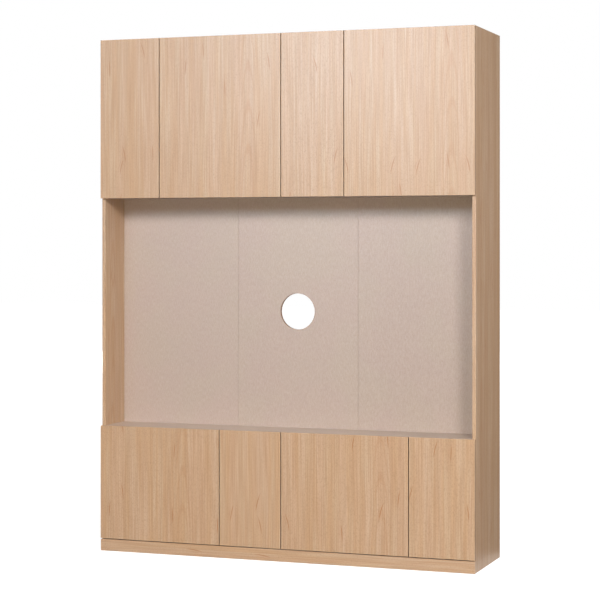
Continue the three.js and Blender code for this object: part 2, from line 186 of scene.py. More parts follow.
def tone(red, green, blue):
    """A colour as a picture shows it, 0 to 255, in the linear numbers that shaders take."""
    def linear(value):
        value /= 255
        return value / 12.92 if value <= 0.04045 else ((value + 0.055) / 1.055) ** 2.4
    return (linear(red), linear(green), linear(blue), 1.0)


SURFACE = [("Colour", "Color"), ("Roughness", "Float"), ("Height", "Float")]
print("node helper ready")

# %% [markdown]
# ## The figure of straight-grained oak
# The doors and sides are faced with a light oak decor: fine upright lines, soft bands a
# hand's width apart that lean to yellow or to pink, short dark pores, here and there the
# nested arches of a flat-sawn board, and small feathers, bundles of short strokes that curve
# away from the grain. A picture of wood could carry all that, but stretched noise has no edges
# or repeats and can start anywhere. Noise is squeezed across the grain and drawn out along it;
# a seed moves each board to its own place in the noise. Two slow noises bend the grain first:
# the numbers say how often they change in a metre across and along, and how far they push it.

# %% Oak figure: bands, lines and pores
SWAY_OFTEN, SWAY_PUSH = (5.0, 1.6), 0.018
RIPPLE_OFTEN, RIPPLE_PUSH = (22.0, 6.0), 0.0022
sheet, given, result = new_group(
    "Oak figure",
    [("Across", "Float", 0.0), ("Along", "Float", 0.0), ("Seed", "Float", 0.0), ("Heart", "Float", 0.0)],
    SURFACE,
)
across, along, start = given["Across"], given["Along"], given["Seed"]
sway = sheet.noise(sheet.times(across, SWAY_OFTEN[0]), start, sheet.times(along, SWAY_OFTEN[1]))
ripple = sheet.noise(sheet.times(across, RIPPLE_OFTEN[0]), start, sheet.times(along, RIPPLE_OFTEN[1]))
bent = sheet.plus(across, sheet.plus(sheet.times(sway, SWAY_PUSH), sheet.times(ripple, RIPPLE_PUSH)))


def stretched(often_across, often_along, shift, detail=2.0, roughness=0.5):
    """Noise along the bent grain: how often it changes in a metre across it and along it."""
    return sheet.noise(sheet.times(bent, often_across), sheet.plus(start, shift),
                       sheet.times(along, often_along), detail, roughness)


bands = sheet.ease(stretched(12, 0.5, 1.0), 0.34, 0.66)
hue = sheet.ease(stretched(42, 1.5, 5.0), 0.39, 0.61)
tint = sheet.ease(stretched(170, 3.0, 33.0), 0.4, 0.66)
blush = sheet.ease(stretched(24, 0.8, 45.0), 0.42, 0.62)
streaks = sheet.ease(stretched(105, 1.7, 9.0, 3.0, 0.6), 0.36, 0.66)
lines = sheet.ease(stretched(330, 3.6, 13.0), 0.4, 0.66)
glints = sheet.ease(stretched(300, 3.0, 37.0), 0.45, 0.7)
fibres = stretched(1400, 12.0, 17.0)
pores = sheet.ease(stretched(420, 150.0, 21.0), 0.5, 0.68)
print("nodes of the flowing layers:", len(sheet.tree.nodes))

# %% [markdown]
# ## Arches and feathers
# An arch is where a plain-sawn board cuts a growth ring, so the arches are lines of equal value
# of a narrow parabola round the heart of the board, and they fade out beside it. The feathers
# need places rather than a flow, so they come from a cell pattern: each cell may hold one
# bundle round its own point, and chance decides which cells do and which way a bundle leans.

# %% Oak figure: arches and feathers
ARCH_STEEPNESS, ARCH_RISE, ARCH_SWAY, ARCH_TURN = 900.0, 5.0, 2.0, 6.3
ARCH_FADE = (0.015, 0.075)
aside = sheet.minus(bent, given["Heart"])
steep = sheet.times(sheet.times(aside, aside), ARCH_STEEPNESS)
rise = sheet.plus(steep, sheet.times(along, ARCH_RISE))
wave = sheet.math("SINE", sheet.times(sheet.plus(rise, sheet.times(sway, ARCH_SWAY)), ARCH_TURN))
near = sheet.minus(1.0, sheet.ease(sheet.math("ABSOLUTE", aside), *ARCH_FADE))
arches = sheet.times(sheet.ease(wave, 0.35, 1.0), near)

CELLS_ACROSS, CELLS_ALONG, BARE_CELLS = 9.0, 3.0, 0.32
FEATHER_LEAN, FEATHER_CURVE, STROKES = 0.56, 8.0, 560.0
BUNDLE_ACROSS, BUNDLE_ALONG = 9000.0, 420.0
cells = sheet.node("TexVoronoi", voronoi_dimensions="2D")
cells.inputs["Scale"].default_value = 1.0
moved = sheet.plus(sheet.times(bent, CELLS_ACROSS), start)
sheet.feed(cells.inputs["Vector"], sheet.vector(moved, sheet.times(along, CELLS_ALONG), 0.0))
middle = sheet.split(cells.outputs["Position"])
chance = sheet.split(cells.outputs["Color"])
beside = sheet.math("DIVIDE", sheet.minus(moved, middle[0]), CELLS_ACROSS)
above = sheet.minus(along, sheet.math("DIVIDE", middle[1], CELLS_ALONG))
lean = sheet.times(sheet.minus(chance[0], 0.5), FEATHER_LEAN)
curve = sheet.times(sheet.times(above, above), sheet.times(lean, FEATHER_CURVE))
slide = sheet.minus(beside, sheet.plus(sheet.times(above, lean), curve))
strokes = sheet.ease(sheet.math("SINE", sheet.times(slide, STROKES)), -0.1, 0.9)
reach = sheet.math("SQRT", sheet.plus(sheet.times(sheet.times(slide, slide), BUNDLE_ACROSS),
                                      sheet.times(sheet.times(above, above), BUNDLE_ALONG)))
bundle = sheet.minus(1.0, sheet.ease(reach, 0.35, 1.0))
chosen = sheet.math("GREATER_THAN", chance[1], BARE_CELLS)
feathers = sheet.times(sheet.times(strokes, bundle), chosen)
print("cells in a square metre:", CELLS_ACROSS * CELLS_ALONG)

# %% [markdown]
# ## The colours of the oak
# Each layer is a mask, and its colour is laid on what lies below it, the soft ones first and
# the dark pores last. Most strengths are low, because light oak is quiet. Lines and pores lie
# a little deeper than the rest.

# %% Oak figure: colours
OAK_ROUGHNESS, LINE_ROUGHNESS = 0.39, 0.02
ground = sheet.mix(bands, tone(188, 165, 141), tone(182, 156, 130))
for mask, strength, colour in (
    (hue, 0.75, tone(183, 150, 118)),
    (blush, 0.5, tone(188, 162, 142)),
    (glints, 0.14, tone(196, 178, 152)),
    (tint, 0.45, tone(175, 140, 111)),
    (streaks, 0.16, tone(163, 133, 105)),
    (lines, 0.46, tone(156, 119, 87)),
    (arches, 0.32, tone(166, 124, 90)),
    (feathers, 0.85, tone(156, 108, 72)),
    (pores, 0.36, tone(132, 102, 75)),
):
    ground = sheet.layer(ground, mask, strength, colour)
rough = sheet.plus(OAK_ROUGHNESS, sheet.times(lines, LINE_ROUGHNESS))
relief = sheet.minus(sheet.times(fibres, 0.5), pores)
relief = sheet.minus(relief, sheet.times(lines, 0.3))
sheet.give(result, Colour=ground, Roughness=rough, Height=relief)
oak_figure = sheet.tree
print("oak figure nodes:", len(oak_figure.nodes))

# %% [markdown]
# ## The softened edge
# Every board has a narrow chamfer that is painted paler and made a little smoother. This is partly
# wear, where hands and cloths rub the finish, and partly a painted highlight along the edge. The
# chamfer is the only place where a board's own normal lies between two axes, so its mask can be
# read from the normal, and noise breaks the mask up as real wear does.

# %% Edge wear group
sheet, given, result = new_group(
    "Edge wear and highlight",
    [("Normal", "Vector", (0, 0, 1)), ("Point", "Vector", (0, 0, 0))],
    [("Mask", "Float")],
)
facing = [sheet.math("ABSOLUTE", part) for part in sheet.split(given["Normal"])]
flat = sheet.math("MAXIMUM", sheet.math("MAXIMUM", facing[0], facing[1]), facing[2])
slanted = sheet.minus(1.0, sheet.ease(flat, 0.85, 0.97))
rubbed = sheet.ease(sheet.even_noise(sheet.split(given["Point"]), 40.0), 0.3, 0.7)
# The mask paints the chamfers paler, partly as wear and partly as a painted highlight along the edge.
sheet.feed(result["Mask"], sheet.times(slanted, rubbed))
edge_wear_and_highlight = sheet.tree
print("edge wear and highlight nodes:", len(edge_wear_and_highlight.nodes))

# %% [markdown]
# ## The painted highlight along the rim of a door
# A line a few millimetres wide along the rim of a door is painted paler, as a painted highlight
# where light catches the edge. The mask is the distance to the nearest edge, which the two
# corners of the board give.

# %% Rim group
RIM_HIGHLIGHT_WIDTH = 0.004
sheet, given, result = new_group(
    "Painted rim highlight",
    [("Point", "Vector", (0, 0, 0)), ("Low", "Vector", (0, 0, 0)), ("High", "Vector", (1, 1, 1)),
     ("Width", "Float", RIM_HIGHLIGHT_WIDTH)],
    [("Mask", "Float")],
)
point, low, high = (sheet.split(given[name]) for name in ("Point", "Low", "High"))
gaps = [sheet.minus(point[axis], low[axis]) for axis in (0, 2)]
gaps += [sheet.minus(high[axis], point[axis]) for axis in (0, 2)]
least = gaps[0]
for gap in gaps[1:]:
    least = sheet.math("MINIMUM", least, gap)
# The mask marks a painted highlight along the rim of the door.
sheet.feed(result["Mask"], sheet.minus(1.0, sheet.ease(least, 0.0, given["Width"])))
painted_rim_highlight = sheet.tree
print("board rim nodes:", len(painted_rim_highlight.nodes))

# %% [markdown]
# ## The linen weave
# The niche and the insides are faced with a matt board that carries a pressed linen weave:
# threads both ways, each a little thicker or thinner along its length, and a faint drift from
# grey beige to pink. Two noises, each drawn out along its own threads, give the weave, a third
# gives the slubs, and two sines a millimetre long give a fine relief.

# %% Linen group
THREADS_TURN = 5700.0
LINEN_ROUGHNESS, WEFT_ROUGHNESS = 0.42, 0.08
sheet, given, result = new_group(
    "Linen weave",
    [("U", "Float", 0.0), ("V", "Float", 0.0), ("Seed", "Float", 0.0)],
    SURFACE,
)


def cloth(often_u, often_v, shift, detail=2.0):
    """Noise in the plane of the cloth: how often it changes in a metre each way."""
    return sheet.noise(sheet.times(given["U"], often_u), sheet.plus(given["Seed"], shift),
                       sheet.times(given["V"], often_v), detail)


weft = sheet.ease(cloth(220, 420, 1.0), 0.36, 0.66)
warp = sheet.ease(cloth(400, 60, 3.0), 0.36, 0.66)
slubs = sheet.ease(cloth(240, 140, 6.0), 0.55, 0.75)
drift = sheet.ease(cloth(5.0, 4.0, 9.0), 0.36, 0.64)
mottle = sheet.ease(cloth(60, 60, 12.0, 4.0), 0.35, 0.7)
over = sheet.math("SINE", sheet.times(given["U"], THREADS_TURN))
under = sheet.math("SINE", sheet.times(given["V"], THREADS_TURN))
base = sheet.mix(drift, tone(163, 148, 138), tone(164, 146, 139))
for mask, strength, colour in (
    (weft, 0.4, tone(150, 132, 120)),
    (warp, 0.4, tone(178, 164, 156)),
    (slubs, 0.35, tone(146, 126, 117)),
    (mottle, 0.08, tone(143, 126, 116)),
):
    base = sheet.layer(base, mask, strength, colour)
rough = sheet.plus(LINEN_ROUGHNESS, sheet.times(weft, WEFT_ROUGHNESS))
threads = sheet.plus(sheet.times(sheet.times(over, under), 0.25), sheet.plus(weft, warp))
sheet.give(result, Colour=base, Roughness=rough, Height=threads)
linen_weave = sheet.tree
print("linen weave nodes:", len(linen_weave.nodes))

# %% [markdown]
# ## From groups to finishes
# A finish is a material with one glossy-and-diffuse shader, fed by the groups. The broad
# numbers that never change over a surface, such as the shine of the lacquer, are typed into
# the shader itself. Every piece is modelled where it stands, so its own coordinates are the
# cabinet's, in metres, and a pattern has its true size on each board without any unwrapping.

# %% Material helper
def new_material(name, **numbers):
    material = bpy.data.materials.new(name)
    material.use_nodes = True
    sheet = Sheet(material.node_tree)
    shader = material.node_tree.nodes["Principled BSDF"]
    for socket, value in numbers.items():
        shader.inputs[socket.replace("_", " ")].default_value = value
    place = sheet.node("TexCoord")
    return material, sheet, shader.inputs, place.outputs["Object"], place.outputs["Normal"]


def coat(sheet, inputs, colour, roughness, height, depth):
    """Feeds the shader, and raises its pattern by a depth in metres."""
    sheet.feed(inputs["Base Color"], colour)
    sheet.feed(inputs["Roughness"], roughness)
    bump = sheet.node("Bump")
    bump.inputs["Distance"].default_value = depth
    sheet.feed(bump.inputs["Height"], height)
    sheet.feed(inputs["Normal"], bump.outputs["Normal"])


def dress(node, material):
    mesh = frame["nodes"][node].data
    mesh.materials.clear()
    mesh.materials.append(material)


print("material helper ready")

# %% [markdown]
# ## The oak finish
# The figure gives the colour, and three things are laid over it. The first is broad dark bands on
# the outer faces of the side panels. The second is a paler tone on the chamfers, partly wear and
# partly a painted highlight. The third, on a door, is a painted highlight along the rim and
# painted shade on the edges that look sideways, where the gaps between the doors lie in shadow.

# %% Oak finish
OAK_SHINE = 0.2
OAK_DEPTH = 0.00003
OUTER_FACE = 0.895
# Paler oak for the worn chamfers and for the painted highlights on chamfers and door rims.
WEAR_AND_HIGHLIGHT_OAK = tone(206, 180, 152)
BAND_OAK = tone(156, 120, 92)
# Painted shade for the sideways faces of the doors, which lie in the shadow of the gaps between them.
SEAM_SHADE_OAK = tone(142, 116, 92)


def side_banding(sheet, plain, x, z, across, seed, strength):
    broad = sheet.noise(sheet.times(across, 26.0), seed, sheet.times(z, 0.7), 3.0, 0.6)
    outer = sheet.times(sheet.math("GREATER_THAN", sheet.math("ABSOLUTE", x), OUTER_FACE), strength)
    return sheet.mix(sheet.times(sheet.ease(broad, 0.36, 0.62), outer), plain, BAND_OAK)


def door_seam_shade_and_highlight(sheet, colour, point, normal, low, high):
    # Painted shade on the faces that look sideways into the gaps, and a painted highlight along the rim.
    turned = sheet.ease(sheet.math("ABSOLUTE", sheet.split(normal)[0]), 0.8, 0.95)
    colour = sheet.mix(turned, colour, SEAM_SHADE_OAK, "MULTIPLY")
    rim = sheet.place(painted_rim_highlight, Point=point, Low=low, High=high)["Mask"]
    return sheet.layer(colour, rim, 0.25, WEAR_AND_HIGHLIGHT_OAK)


def oak(name, seed, lying=False, low=None, high=None, heart=0.0, banding=0.0):
    material, sheet, inputs, point, normal = new_material(name, IOR=1.5, Specular_IOR_Level=OAK_SHINE)
    x, y, z = sheet.split(point)
    across = sheet.plus(z if lying else x, y)
    figure = sheet.place(oak_figure, Across=across, Along=x if lying else z, Seed=seed, Heart=heart)
    wear_and_highlight = sheet.place(edge_wear_and_highlight, Normal=normal, Point=point)["Mask"]
    colour = figure["Colour"]
    if banding:
        colour = side_banding(sheet, colour, x, z, across, seed, banding)
    # Paler chamfers: partly wear, partly a painted highlight.
    colour = sheet.layer(colour, wear_and_highlight, 0.45, WEAR_AND_HIGHLIGHT_OAK)
    if low is not None:
        colour = door_seam_shade_and_highlight(sheet, colour, point, normal, low, high)
    rough = sheet.minus(figure["Roughness"], sheet.times(wear_and_highlight, 0.08))
    coat(sheet, inputs, colour, rough, figure["Height"], OAK_DEPTH)
    return material


print("oak finish ready")

# %% [markdown]
# ## Oak on the doors, sides and plinth
# Each door is cut from its own stretch of the decor, so each gets its own seed and its own
# heart, a third to seven tenths of the way across. The plinth is faced with the grain lying
# down, and its heart lies far off, so that it shows no arch.

# %% Oak boards
FAR_HEART = 9.0
doors = [f"{row}_door_{number}" for row in ROWS for number in (1, 2, 3, 4)]
for index, door in enumerate(doors):
    low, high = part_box(door)
    heart = low.x + (high.x - low.x) * (0.34 + 0.37 * (index * 0.618 % 1))
    dress(door, oak("oak_" + door, 3.7 * index + 1.3, low=low, high=high, heart=heart))
for index, hand in enumerate(HANDS):
    heart = -0.1 + 0.9 * (2 * index - 1)
    side = oak("oak_side_panel_" + hand, 41.0 + 5.2 * index, heart=heart, banding=0.42)
    dress("side_panel_" + hand, side)
dress("plinth_board", oak("oak_plinth_board", 57.0, lying=True, heart=FAR_HEART))
print("oak boards:", len(doors) + 3)

# %% [markdown]
# ## Linen on the niche and the insides
# The weave runs along the two broad directions of each board, so the finish has to know which
# way the board is thin. The seed differs from board to board, so that the pattern breaks at
# every joint. The facing is cut at the side edges of the niche backs, which shows as a faint
# line. The niche floor is a little shinier than the rest, and it has painted light: its colour
# is mixed towards a paler tone, in place of the light and reflection it shows at a low angle.

# %% Linen boards
LINEN_SHINE, NICHE_FLOOR_SHINE, NICHE_FLOOR_PAINTED_LIGHT = 0.36, 0.5, 0.85
LINEN_DEPTH = 0.00008
SEAM_WIDTH = (0.0012, 0.003)
WEAR_AND_HIGHLIGHT_LINEN = tone(188, 172, 160)
PAINTED_LIGHT_LINEN = tone(200, 181, 166)
SEAM_LINEN = tone(120, 100, 86)


def linen(node, seed, thin, shine, painted_light):
    """Thin names the axis along which the board is thin."""
    material, sheet, inputs, point, normal = new_material("linen_" + node, IOR=1.5, Specular_IOR_Level=shine)
    x, y, z = sheet.split(point)
    u = sheet.plus(y, x) if thin == "x" else x
    v = sheet.plus(z, y) if thin != "x" else z
    weave = sheet.place(linen_weave, U=u, V=v, Seed=seed)
    wear_and_highlight = sheet.place(edge_wear_and_highlight, Normal=normal, Point=point)["Mask"]
    # Paler chamfers: partly wear, partly a painted highlight.
    colour = sheet.layer(weave["Colour"], wear_and_highlight, 0.4, WEAR_AND_HIGHLIGHT_LINEN)
    # Painted light: the niche floor's colour is mixed towards a paler tone.
    if painted_light:
        colour = sheet.mix(painted_light, colour, PAINTED_LIGHT_LINEN)
    if thin == "y":
        low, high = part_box(node)
        beside = sheet.math("MINIMUM", sheet.minus(x, low.x), sheet.minus(high.x, x))
        seam = sheet.minus(1.0, sheet.ease(beside, *SEAM_WIDTH))
        colour = sheet.layer(colour, seam, 0.1, SEAM_LINEN)
    coat(sheet, inputs, colour, weave["Roughness"], weave["Height"], LINEN_DEPTH)
    return material


shelves = [f"{row}_shelf_{hand}" for row in ROWS for hand in HANDS]
thin_along = {
    "z": ["lower_cabinet_floor", "niche_floor", "niche_ceiling", "top_panel"] + shelves,
    "y": ["niche_back_left", "niche_back_middle", "niche_back_right", "plinth_rear_rail"],
    "x": ["lower_partition", "upper_partition", "plinth_bearer"],
}
linen_boards = [(thin, node) for thin, nodes in thin_along.items() for node in nodes]
for index, (thin, node) in enumerate(linen_boards):
    shine, painted_light = LINEN_SHINE, 0.0
    # The niche floor is shinier, and it gets painted light.
    if node == "niche_floor":
        shine, painted_light = NICHE_FLOOR_SHINE, NICHE_FLOOR_PAINTED_LIGHT
    dress(node, linen(node, 2.9 * index + 0.7, thin, shine, painted_light))
print("linen boards:", len(linen_boards))

# %% [markdown]
# ## Pressed fibre, plating and moulded skin
# The rear panels are thin hardboard: brown pressed fibre, mottled, clouded and flecked by the
# press. Hinge parts are nickel-plated steel, brushed a little along their length and dulled
# where fingers touch. The latches are moulded in plastic with a fine skin. Each is a group that
# takes a point in metres.

# %% Fibre group
sheet, given, result = new_group("Pressed fibre", [("Point", "Vector", (0, 0, 0))], SURFACE)
parts = sheet.split(given["Point"])
mottle = sheet.even_noise(parts, 260.0, 5.0, 0.65)
clouds = sheet.even_noise(parts, 16.0, 4.0, 0.6)
flakes = sheet.noise(sheet.times(parts[0], 900.0), parts[1], sheet.times(parts[2], 500.0), 3.0)
fibre = sheet.mix(sheet.ease(mottle, 0.3, 0.7), tone(172, 144, 118), tone(152, 124, 100))
fibre = sheet.layer(fibre, sheet.ease(clouds, 0.35, 0.65), 0.22, tone(176, 152, 130))
fibre = sheet.layer(fibre, sheet.ease(flakes, 0.6, 0.75), 0.4, tone(128, 98, 72))
rough = sheet.plus(0.62, sheet.times(mottle, 0.2))
sheet.give(result, Colour=fibre, Roughness=rough, Height=sheet.plus(mottle, flakes))
pressed_fibre = sheet.tree
print("pressed fibre nodes:", len(pressed_fibre.nodes))

# %% Plating group
BRUSH_ACROSS, BRUSH_ALONG = 3000.0, 90.0
sheet, given, result = new_group(
    "Nickel plating",
    [("Point", "Vector", (0, 0, 0)), ("Rough", "Float", 0.3), ("Shade", "Float", 0.0)],
    SURFACE,
)
parts = sheet.split(given["Point"])
brush = sheet.noise(sheet.times(parts[0], BRUSH_ACROSS), sheet.times(parts[1], BRUSH_ALONG),
                    sheet.times(parts[2], BRUSH_ACROSS))
smudge = sheet.even_noise(parts, 70.0, 3.0)
bright = sheet.mix(sheet.ease(smudge, 0.35, 0.7), tone(212, 212, 212), tone(194, 191, 186))
metal = sheet.mix(given["Shade"], bright, tone(132, 130, 126))
touched = sheet.plus(sheet.times(sheet.ease(smudge, 0.4, 0.75), 0.14), sheet.times(brush, 0.08))
sheet.give(result, Colour=metal, Roughness=sheet.plus(given["Rough"], touched), Height=brush)
plating = sheet.tree
print("plating nodes:", len(plating.nodes))

# %% Moulded skin group
sheet, given, result = new_group(
    "Moulded skin",
    [("Point", "Vector", (0, 0, 0)), ("Tint", "Color", (0.3, 0.3, 0.3, 1))],
    SURFACE,
)
parts = sheet.split(given["Point"])
skin = sheet.even_noise(parts, 2400.0)
flow = sheet.even_noise(parts, 55.0)
milky = sheet.layer(given["Tint"], sheet.ease(flow, 0.3, 0.7), 0.25, tone(190, 190, 190))
rough = sheet.plus(0.42, sheet.times(skin, 0.16))
sheet.give(result, Colour=milky, Roughness=rough, Height=skin)
moulding = sheet.tree
print("moulded skin nodes:", len(moulding.nodes))

# %% [markdown]
# ## Hardboard, nickel, zinc and plastic
# The rear panels carry the linen facing on the side that looks into the cabinet, so their
# finish reads the normal and picks the weave there and the bare fibre behind. The metals share
# the plating and differ in roughness, and the wall angles are darker. The plastics share the
# moulded skin and differ in tint.

# %% Other finishes
HARDBOARD_DEPTH, METAL_DEPTH, SKIN_DEPTH = 0.00006, 0.00001, 0.00002


def simple_finish(name, group, depth, values, **numbers):
    material, sheet, inputs, point, normal = new_material(name, **numbers)
    made = sheet.place(group, Point=point, **values)
    coat(sheet, inputs, made["Colour"], made["Roughness"], made["Height"], depth)
    return material


def faced_hardboard():
    material, sheet, inputs, point, normal = new_material("hardboard", IOR=1.5, Specular_IOR_Level=0.3)
    fibre = sheet.place(pressed_fibre, Point=point)
    parts = sheet.split(point)
    weave = sheet.place(linen_weave, U=parts[0], V=parts[2], Seed=88.0)
    inner = sheet.math("GREATER_THAN", sheet.times(sheet.split(normal)[1], -1.0), 0.5)
    colour = sheet.mix(inner, fibre["Colour"], weave["Colour"])
    rough = sheet.mix(inner, fibre["Roughness"], weave["Roughness"])
    coat(sheet, inputs, colour, rough, fibre["Height"], HARDBOARD_DEPTH)
    return material


hardboard = faced_hardboard()
nickel = simple_finish("nickel", plating, METAL_DEPTH, {"Rough": 0.24}, Metallic=1.0)
zinc = simple_finish("zinc_screw", plating, METAL_DEPTH, {"Rough": 0.32}, Metallic=1.0)
dull_zinc = simple_finish("dull_zinc", plating, SKIN_DEPTH, {"Rough": 0.5, "Shade": 0.45}, Metallic=1.0)
latch_grey = simple_finish("latch_grey", moulding, SKIN_DEPTH, {"Tint": tone(146, 148, 150)})
edge_brown = simple_finish("hole_edge", moulding, SKIN_DEPTH, {"Tint": tone(152, 114, 86)})
cap_plastic = simple_finish("cap_plastic", moulding, SKIN_DEPTH, {"Tint": tone(176, 160, 148)})
magnet_dark = simple_finish("magnet_dark", plating, METAL_DEPTH, {"Rough": 0.34}, Metallic=0.9)
for row in ROWS:
    dress(f"{row}_rear_panel", hardboard)
for node in frame["nodes"]:
    if "hinge_arm" in node:
        dress(node, nickel)
    elif "wall_angle" in node:
        dress(node, dull_zinc)
    elif "latch" in node:
        dress(node, latch_grey)
print("finishes in all:", len(bpy.data.materials))

# %% [markdown]
# ## Building the small fittings
# The frame carries each hinge as a bore, a flange and a bent arm, enough to swing on. What it
# leaves out is what the eye looks for when a door is opened: the pressed steel lining of the
# cup, the heads of the screws, the round strike plates, the housings under the shelves. They
# are turned or cut shapes, so a few builders make them all. A profile is a list of points, each
# a radius and a level along the axis, in millimetres.

# %% Turning and cutting
MM = 0.001


def stand(centre, out):
    """Turns and moves a shape drawn round +Z so that it stands at a point and looks along out."""
    return Matrix.Translation(centre) @ Vector(out).to_track_quat("Z", "Y").to_matrix().to_4x4()


def lay(mesh, place, outline, level):
    """The points of a flat outline, in millimetres, at a level along the axis of its place."""
    return [mesh.verts.new(place @ (Vector((x, y, level)) * MM)) for x, y in outline]


def ring(mesh, place, radius, level, sides):
    """A circle of points round the axis of a place."""
    angles = [2 * math.pi * step / sides for step in range(sides)]
    return lay(mesh, place, [(radius * math.cos(a), radius * math.sin(a)) for a in angles], level)


def neighbours(points):
    """Each point with the next one, all the way round."""
    return list(zip(points, points[1:] + points[:1]))


def wall(mesh, lower, upper):
    """Faces between two rows of as many points, all the way round."""
    for (low, low_next), (high, high_next) in zip(neighbours(lower), neighbours(upper)):
        mesh.faces.new((low, low_next, high_next, high))


def turn(mesh, place, profile, sides, closed=False):
    """Turns a profile round the axis of a place. A closed profile makes a hoop."""
    rings = [ring(mesh, place, radius, level, sides) for radius, level in profile]
    for lower, upper in neighbours(rings) if closed else zip(rings, rings[1:]):
        wall(mesh, lower, upper)
    if not closed:
        mesh.faces.new(rings[0])
        mesh.faces.new(rings[-1])


def prism(mesh, place, outline, low, high):
    """Gives a flat outline thickness along the axis of its place."""
    layers = [lay(mesh, place, outline, level) for level in (low, high)]
    for layer in layers:
        mesh.faces.new(layer)
    wall(mesh, *layers)


print("turning and cutting ready")

# %% [markdown]
# ## Screw heads
# A screw shows as a low dome with a cross recess. The dome is a foot, which reaches a little
# into the part below, and three rings, each a share of the head's radius and height. The recess
# is the outline of a cross, filled up to the last ring and joined to a smaller cross at its bed.

# %% Screw heads
HEAD_SIDES = 20
FOOT_SHARE, FOOT_LEVEL = 0.96, -0.3
DOME = ((1.0, 0.15), (0.93, 0.6), (0.74, 1.0))
CROSS_REACH, CROSS_HALF, BED_WIDTH, BED_HEIGHT = 0.52, 0.13, 0.6, 0.1


def screw(mesh, centre, out, radius, proud):
    """A domed head of a radius, which stands proud by so many millimetres."""
    place = stand(centre, out)
    rings = [ring(mesh, place, radius * FOOT_SHARE, FOOT_LEVEL, HEAD_SIDES)]
    rings += [ring(mesh, place, radius * share, proud * rise, HEAD_SIDES) for share, rise in DOME]
    for lower, upper in zip(rings, rings[1:]):
        wall(mesh, lower, upper)
    mesh.faces.new(rings[0])
    reach, half = radius * CROSS_REACH, radius * CROSS_HALF
    cross = [(reach, half), (half, half), (half, reach), (-half, reach), (-half, half), (-reach, half)]
    cross += [(-x, -y) for x, y in cross]
    lip = lay(mesh, place, cross, proud)
    bed = lay(mesh, place, [(x * BED_WIDTH, y * BED_WIDTH) for x, y in cross], proud * BED_HEIGHT)
    edges = [mesh.edges.new(pair) for pair in neighbours(lip)]
    edges += [mesh.edges.get(pair) for pair in neighbours(rings[-1])]
    bmesh.ops.triangle_fill(mesh, use_beauty=True, edges=edges)
    wall(mesh, lip, bed)
    mesh.faces.new(bed)


print("screw heads ready")

# %% [markdown]
# ## From a mesh to a fitting
# A finished mesh becomes a piece of the cabinet: it is shaded smooth up to its sharp edges,
# may get them rounded, rides on the body of the frame that carries it, and takes its finish.

# %% Fittings
SHARP_ANGLE = 35


def soften(made, width):
    """Rounds the edges of a piece by a width in millimetres."""
    soft = made.modifiers.new("softened edges", "BEVEL")
    soft.width = width * MM
    soft.segments = 2
    soft.limit_method = "ANGLE"
    return soft


def new_object(name, mesh, material):
    data = bpy.data.meshes.new(name)
    mesh.to_mesh(data)
    mesh.free()
    data.materials.append(material)
    made = bpy.data.objects.new(name, data)
    scene.collection.objects.link(made)
    return made


def fitting(name, body, material, mesh, bevel=0.0):
    """Turns the mesh into a piece that rides on a body of the frame."""
    bmesh.ops.recalc_face_normals(mesh, faces=mesh.faces)
    made = new_object(name, mesh, material)
    for face in made.data.polygons:
        face.use_smooth = True
    made.data.set_sharp_from_angle(angle=math.radians(SHARP_ANGLE))
    if bevel:
        soften(made, bevel)
    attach(made, body)
    return made


print("fittings ready")

# %% [markdown]
# ## Hinge cups
# A concealed hinge is pressed into a round bore. Its cup is drawn steel: a thin wall, a floor,
# a rolled rim, and two ears through which chipboard screws go. The sleeve on the pin crosses
# the cup. Each joint of the frame gives the line of the pin, and all is measured from there.

# %% Hinge cups
CUP_FROM_PIN, CUP_RADIUS, CUP_FLOOR, DOOR_BACK, STEEL = 13.0, 16.3, -3.1, 10.0, 0.15
EAR_NEAR, EAR_FAR, EAR_END, EAR_CORNER = 3.0, 16.0, 30.0, 3.0
EAR_GROWTH, EAR_ARC, EAR_TOP = 0.12, 16.45, 1.15
ARC_STEPS, CORNER_STEPS = 12, 6
SLEEVE_RADIUS, SLEEVE_HALF = 1.17, 10.1
EAR_SCREW_ACROSS, EAR_SCREW_UP = 9.5, 22.5
CUP_BEVEL = 0.12
BACKWARDS = (0, 1, 0)
cup_profile = [
    (0.4, CUP_FLOOR), (CUP_RADIUS, CUP_FLOOR), (CUP_RADIUS, DOOR_BACK),
    (CUP_RADIUS + 1.3, DOOR_BACK), (CUP_RADIUS + 1.3, DOOR_BACK + 0.25),
    (CUP_RADIUS + 1.1, DOOR_BACK + 0.38), (CUP_RADIUS - 0.1, DOOR_BACK + 0.38),
    (CUP_RADIUS - 2 * STEEL, DOOR_BACK + 0.1), (CUP_RADIUS - 2 * STEEL, CUP_FLOOR + 1.2),
    (CUP_RADIUS - 1.3, CUP_FLOOR + STEEL), (0.4, CUP_FLOOR + STEEL),
]


def ear_outline(hand, side):
    """The ear outside the cup, as seen from the back of the door: across from the cup, and up."""
    near, far, end = EAR_NEAR - EAR_GROWTH, EAR_FAR + EAR_GROWTH, EAR_END + EAR_GROWTH
    first, last = math.acos(far / EAR_ARC), math.acos(near / EAR_ARC)
    points = []
    for step in range(ARC_STEPS + 1):
        angle = first + (last - first) * step / ARC_STEPS
        points.append((EAR_ARC * math.cos(angle), EAR_ARC * math.sin(angle)))
    for middle, start in ((near + EAR_CORNER, 180), (far - EAR_CORNER, 90)):
        for step in range(CORNER_STEPS + 1):
            angle = math.radians(start - 90 / CORNER_STEPS * step)
            x, y = EAR_CORNER * math.cos(angle), EAR_CORNER * math.sin(angle)
            points.append((middle + x, end - EAR_CORNER + y))
    return [(hand * x, side * y) for x, y in points]


